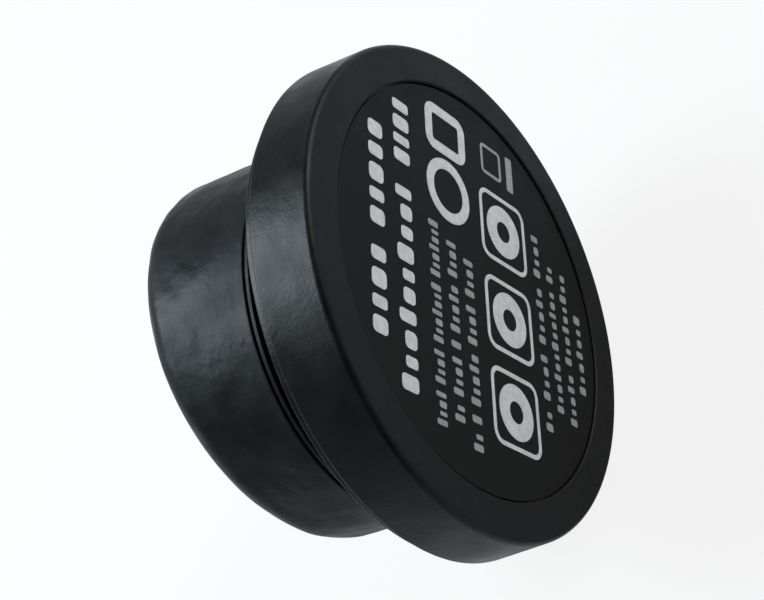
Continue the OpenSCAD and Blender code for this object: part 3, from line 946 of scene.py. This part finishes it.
class PUMP_OT_front_guard(bpy.types.Operator):
    """Domed outlet guard with intake slots round its flange, and its screws"""
    bl_idname = "pump.front_guard"
    bl_label = "Front guard"

    def execute(self, context):
        sizes = context.scene.pump_guard
        low, top = along_jet("front_guard")
        flange_top = low + sizes.flange
        rise = top - flange_top
        outer = (sizes.dome_base ** 2 + rise ** 2) / (2 * rise)
        centre_y = top - outer
        radius = sizes.flange_radius
        throat = sizes.throat
        flange = turned([(throat, low), (radius, low), (radius, flange_top), (throat, flange_top)], 144,
                        closed=True)
        screw_circle, slot_circle, slot_length, slot_width = 24.6 * MM, 23.3 * MM, 5.8 * MM, 2.7 * MM
        slot = slot_tool((slot_circle, (low + flange_top) / 2, 0),
                         (slot_length, 2 * sizes.flange, slot_width))
        edit_mesh()
        bpy.ops.mesh.select_mode(type="EDGE")
        select_mesh("DESELECT")
        leave_mesh()
        for edge in slot.data.edges:
            a, b = (slot.data.vertices[i].co for i in edge.vertices)
            edge.select = abs(a.y - b.y) > MM
        edit_mesh()
        bpy.ops.mesh.bevel(offset=1.1 * MM, segments=5, affect="EDGES")
        leave_mesh()
        places, clear_of_screw = [], 11      # degrees round each of the three screws
        for place in round_axis(sizes.slots, 360 / sizes.slots / 2):
            spot = place @ Vector((screw_circle, 0, 0))
            angle = math.degrees(math.atan2(spot.z, spot.x)) % 120
            if abs(angle - 60) > clear_of_screw:
                places.append(place)
        combine(flange, copies(slot, places))
        soften(flange, 0.22 * MM, 2, 40)
        rings = [guard_ring(r * MM, centre_y, outer - 0.15 * MM, sizes.bar_depth, sizes.bar)
                 for r in (8.4, 12.6, 16.8)]
        half_angle = math.asin((sizes.dome_base - 0.25 * MM) / outer)
        bar = guard_bar(centre_y, outer - 0.2 * MM, sizes.bar_depth, sizes.bar, half_angle)
        bars = copies(bar, round_axis(12)[:6])
        cap = arc((0, centre_y), outer - 0.02 * MM, 80.2, 88.5, 6)
        edge_r, edge_y = cap[0]
        flank = [(4.1 * MM, 5 * MM), (4.25 * MM, 5.2 * MM), (edge_r + 0.25 * MM, edge_y - 0.3 * MM),
                 (edge_r + 0.2 * MM, edge_y - 0.12 * MM)]
        hub = turned(flank + cap, 64)
        shaft_pocket = cylinder(2.9 * MM, 4 * MM, 7.4 * MM, sides=48)
        combine(hub, shaft_pocket)
        foot_profile = ((-1.6, -0.3), (0.5, -0.3), (0.25, 0.35), (-0.2, 0.6), (-1.6, 0.45))
        foot = turned([(sizes.dome_base + x * MM, flange_top + y * MM) for x, y in foot_profile], 144,
                      closed=True)
        guard = put(join([flange, bars, hub, foot] + rings), ON_JET)
        settle(guard, "outlet_guard", "head",
               moulded("Guard plastic", colours().guard, 0.42, 0.2), ["front_guard"])
        fit_screws(pan_screw(1.9 * MM, 1.1 * MM, 0.75 * MM, 6 * MM),
                   Matrix.Translation((screw_circle, flange_top, 0)), round_axis(3, 60),
                   "outlet_guard_screws", "head", "guard_screws", ON_JET)
        return {"FINISHED"}


class PUMP_OT_propeller(bpy.types.Operator):
    """Propeller with twisted, tapering blades on a round-nosed hub"""
    bl_idname = "pump.propeller"
    bl_label = "Propeller"

    def execute(self, context):
        sizes = context.scene.pump_guard
        low, high = along_jet("propeller")
        bore, outside, nose, nose_radius = 1.9 * MM, 5 * MM, high - 2.4 * MM, 2 * MM
        pocket, pocket_floor = 2.7 * MM, high - 3 * MM
        profile = [(bore, low), (4.8 * MM, low), (outside, low + 0.3 * MM), (outside, nose)]
        profile += arc((outside - nose_radius, nose), nose_radius, 0, 80, 6)
        profile += [(pocket, high - 0.3 * MM), (pocket, pocket_floor), (bore, pocket_floor)]
        hub = turned(profile, 64, closed=True)
        points, blade_y = 28, -2 * MM
        root, tip, pitch, twist = 4.2 * MM, sizes.blade_reach, math.radians(52), math.radians(1.9)
        half_chord, half_thick, camber = 5.2 * MM, 0.55 * MM, 1.3 * MM
        tapers = [1.035] * 3 + [0.99] * 6 + [0.95, 0.88, 0.7]      # of the section, from root to tip
        deselect()
        bpy.ops.mesh.primitive_circle_add(vertices=points, radius=1 * MM, fill_type="NOTHING",
                                          location=(0, 0, 0), rotation=(0, math.pi / 2, 0))
        blade = bpy.context.object
        apply_place()
        for i, vertex in enumerate(blade.data.vertices):
            a = math.tau * i / points
            across, up = half_chord * math.cos(a), half_thick * math.sin(a)
            vertex.co = Vector((root, up + camber * (1 - math.cos(a) ** 2), across))
        edit_mesh()
        select_mesh()
        rotate(-pitch, "X")
        step = (tip - root) / len(tapers)
        x = root
        for taper in tapers:
            x += step
            bpy.ops.mesh.extrude_edges_move(TRANSFORM_OT_translate={"value": (step, 0, 0)})
            rotate(twist, "X", (x, 0, 0))
            resize((1, taper, taper), (x, 0, 0))
        finish_mesh()
        put(blade, Matrix.Translation((0, blade_y, 0)))
        blades = copies(blade, round_axis(sizes.blades))
        swept = turned([(4 * MM, low), (tip, low), (tip, 0.4 * MM), (4 * MM, 4.6 * MM)], 128)
        combine(blades, swept, "INTERSECT")
        soften(blades, 0.12 * MM, 2, 60)
        propeller = put(join([hub, blades]), ON_JET)
        settle(propeller, "jet_propeller", "rotor",
               moulded("Propeller plastic", colours().blade, 0.4, 0.45), ["propeller"])
        return {"FINISHED"}


# ---- pieces that keep their CAD shape ----

class PUMP_OT_base_inside(bpy.types.Operator):
    """Finishes of the magnets, their carrier and the other pieces inside the base"""
    bl_idname = "pump.base_inside"
    bl_label = "Inside the base"

    def execute(self, context):
        dress({
            "holding_magnets": brushed("Nickel plate", (0.62, 0.61, 0.58), 0.2, (1, 1, 1)),
            "magnet_carrier": moulded("Carrier plastic", (0.08, 0.08, 0.085), 0.5),
            "yoke_plate": brushed("Zinc plate", (0.5, 0.52, 0.55), 0.35, (0.05, 1, 1)),
            "base_potting": moulded("Base resin", (0.04, 0.04, 0.045), 0.18, 0.5, 1.5 * MM, 0.01 * MM),
            "base_seal": moulded("Seal rubber", (0.01, 0.01, 0.01), 0.6),
            "swivel_washer": moulded("Washer plastic", (0.05, 0.05, 0.055), 0.45),
        })
        return {"FINISHED"}


class PUMP_OT_motor_inside(bpy.types.Operator):
    """Finishes of the motor can and the motor, board, swivel, gland and shaft pieces in the head"""
    bl_idname = "pump.motor_inside"
    bl_label = "Inside the head"

    def execute(self, context):
        housing = colours().housing
        seal = moulded("Soft rubber", (0.012, 0.012, 0.012), 0.55)
        dress({
            "motor_can": moulded("Can plastic", housing, 0.42, 0.2),
            "gland_body": moulded("Gland body plastic", housing, 0.4, 0.35),
            "can_seal": seal,
            "grip_ring": seal,
            "gland_seal": seal,
            "rear_shaft_mount": seal,
            "front_shaft_mount": seal,
            "swivel_clip": brushed("Spring steel", (0.45, 0.45, 0.46), 0.3, (1, 0.1, 1)),
            "stator_core": banded("Stacked sheet", (0.3, 0.31, 0.33), 0.4, 0.5 * MM, 1.0, "Y", -LEAN),
            "stator_coils": banded("Enamelled wire", (0.6, 0.28, 0.12), 0.3, 0.6 * MM, 0.9, "DIAGONAL"),
            "stator_ring": moulded("Insulator plastic", (0.07, 0.07, 0.075), 0.5),
            "driver_board": board_finish(),
            "board_parts": moulded("Chip plastic", (0.012, 0.012, 0.013), 0.5),
            "shaft": moulded("Shaft ceramic", (0.84, 0.83, 0.79), 0.2, 0.5, 0.4 * MM, 0.001 * MM),
        })
        return {"FINISHED"}


class PUMP_OT_rotor_inside(bpy.types.Operator):
    """Finishes of the rotor magnet, its core, bushes and washers"""
    bl_idname = "pump.rotor_inside"
    bl_label = "Inside the rotor"

    def execute(self, context):
        dress({
            "rotor_bushes": moulded("Bush ceramic", (0.8, 0.79, 0.75), 0.25, 0.5, 0.4 * MM, 0.001 * MM),
            "rotor_core": moulded("Rotor plastic", (0.07, 0.07, 0.075), 0.5),
            "rotor_magnet": moulded("Sintered ferrite", (0.05, 0.05, 0.055), 0.35, 0.5, depth=0.004 * MM),
            "thrust_washers": moulded("Washer resin", (0.75, 0.73, 0.66), 0.4),
        })
        return {"FINISHED"}


# ---- stage ----

def camera_turn(azimuth, elevation, roll):
    """The camera's axes for a direction round the pump, a height over the horizon and a roll."""
    back = Vector((math.sin(azimuth) * math.cos(elevation), -math.cos(azimuth) * math.cos(elevation),
                   math.sin(elevation)))
    level = Vector((0, 0, 1)).cross(back).normalized()
    upright = back.cross(level)
    right = math.cos(roll) * level + math.sin(roll) * upright
    up = math.cos(roll) * upright - math.sin(roll) * level
    return Matrix((right, up, back)).transposed(), back


def area_light(name, place, aim, size, power, colour=(1, 1, 1)):
    light = bpy.data.lights.new(name, "AREA")
    light.shape = "DISK"
    light.size = size
    light.energy = power
    light.color = colour
    lamp = bpy.data.objects.new(name, light)
    lamp.matrix_world = (Matrix.Translation(place)
                         @ (Vector(place) - Vector(aim)).to_track_quat("Z", "Y").to_matrix().to_4x4())
    bpy.context.scene.collection.objects.link(lamp)


def seen_white(tree, plain, direct, mirrored, white_kind="Emission"):
    """Mixes plain white over a shader, in one share for the camera and another for mirrors and glass."""
    path = add_node(tree, "LightPath", {})
    amount = 0.0
    for output, share in (("Is Camera Ray", direct), ("Is Glossy Ray", mirrored),
                          ("Is Transmission Ray", mirrored)):
        amount = add_node(tree, "Math", {0: path.outputs[output], 1: share, 2: amount},
                          operation="MULTIPLY_ADD").outputs[0]
    white = add_node(tree, white_kind, {"Color": (1, 1, 1, 1)})
    return add_node(tree, "MixShader", {0: amount, 1: plain, 2: white.outputs[0]}).outputs[0]


class PUMP_OT_stage(bpy.types.Operator):
    """Camera, pale floor, soft overhead light and white surroundings"""
    bl_idname = "pump.stage"
    bl_label = "Stage"

    def execute(self, context):
        scene = context.scene
        sizes = scene.pump_stage
        axes, back = camera_turn(sizes.azimuth, sizes.elevation, sizes.roll)
        camera = bpy.data.objects.new("Camera", bpy.data.cameras.new("Camera"))
        camera.data.lens = sizes.lens
        camera.data.clip_start = 0.01
        camera.matrix_world = Matrix.Translation(Vector(sizes.aim) + back * sizes.distance) @ axes.to_4x4()
        scene.collection.objects.link(camera)
        scene.camera = camera

        deselect()
        bpy.ops.mesh.primitive_plane_add(size=40, location=(0, 0, CAD_BOX[0][2]))
        floor = bpy.context.object
        floor.name = "floor"
        paint = bpy.data.materials.new("Pale floor")
        paint.use_nodes = True
        tree = paint.node_tree
        plain = tree.nodes["Principled BSDF"]
        for socket, value in (("Base Color", (0.6, 0.6, 0.6, 1)), ("Roughness", 0.9),
                              ("Specular IOR Level", 0.0)):
            plain.inputs[socket].default_value = value
        tree.links.new(seen_white(tree, plain.outputs[0], 0.85, 0.12),
                       tree.nodes["Material Output"].inputs["Surface"])
        floor.data.materials.append(paint)

        world = bpy.data.worlds.new("Studio")
        scene.world = world
        world.use_nodes = True
        tree = world.node_tree
        place = add_node(tree, "TexCoord", {})
        direction = add_node(tree, "SeparateXYZ", {0: place.outputs["Generated"]})
        fade = ramp(tree, direction.outputs["Z"], 0.0, (0.85, 0.85, 0.85), 0.28, (0.16, 0.16, 0.16))
        glow = tree.nodes["Background"]
        tree.links.new(fade, glow.inputs["Color"])
        dim_in_front = between(tree, direction.outputs["Y"], 0.1, 1.0, 0.1, 0.42)
        tree.links.new(dim_in_front, glow.inputs["Strength"])
        tree.links.new(seen_white(tree, glow.outputs[0], 0.85, 0.0, "Background"),
                       tree.nodes["World Output"].inputs["Surface"])

        aim = Vector((0, 0.02, 0))
        area_light("Overhead", aim + 0.6 * Vector((0.09, 0.6, 0.78)), aim, 0.42, 5.6, (0.8, 0.93, 1))
        area_light("Front fill", (0.48, -0.54, 0.32), aim, 0.7, 5.6)
        scene.view_settings.view_transform = "Standard"
        return {"FINISHED"}


class PUMP_PT_sidebar(bpy.types.Panel):
    """The pump's pieces and sizes"""
    bl_label = "Wave pump"
    bl_idname = "PUMP_PT_sidebar"
    bl_space_type = "VIEW_3D"
    bl_region_type = "UI"
    bl_category = "Wave pump"

    def draw(self, context):
        for operator in OPERATORS:
            self.layout.operator(operator.bl_idname)
        for name, group in GROUPS.items():
            box = self.layout.box()
            box.label(text=group.__doc__)
            for field in group.__annotations__:
                box.prop(getattr(context.scene, name), field)


OPERATORS = (PUMP_OT_stage, PUMP_OT_base_casing, PUMP_OT_label_disc, PUMP_OT_label_print, PUMP_OT_base_plate,
             PUMP_OT_rear_cover, PUMP_OT_sleeve, PUMP_OT_cable_gland, PUMP_OT_nozzle, PUMP_OT_front_guard,
             PUMP_OT_propeller, PUMP_OT_base_inside, PUMP_OT_motor_inside, PUMP_OT_rotor_inside)


def register():
    for group in GROUPS.values():
        bpy.utils.register_class(group)
    for name, group in GROUPS.items():
        setattr(bpy.types.Scene, name, PointerProperty(type=group))
    for operator in OPERATORS:
        bpy.utils.register_class(operator)
    bpy.utils.register_class(PUMP_PT_sidebar)


def unregister():
    bpy.utils.unregister_class(PUMP_PT_sidebar)
    for operator in reversed(OPERATORS):
        bpy.utils.unregister_class(operator)
    for name, group in reversed(GROUPS.items()):
        delattr(bpy.types.Scene, name)
        bpy.utils.unregister_class(group)


def main():
    register()
    for operator in OPERATORS:
        getattr(bpy.ops.pump, operator.bl_idname.split(".")[1])()


if __name__ == "__main__":
    main()
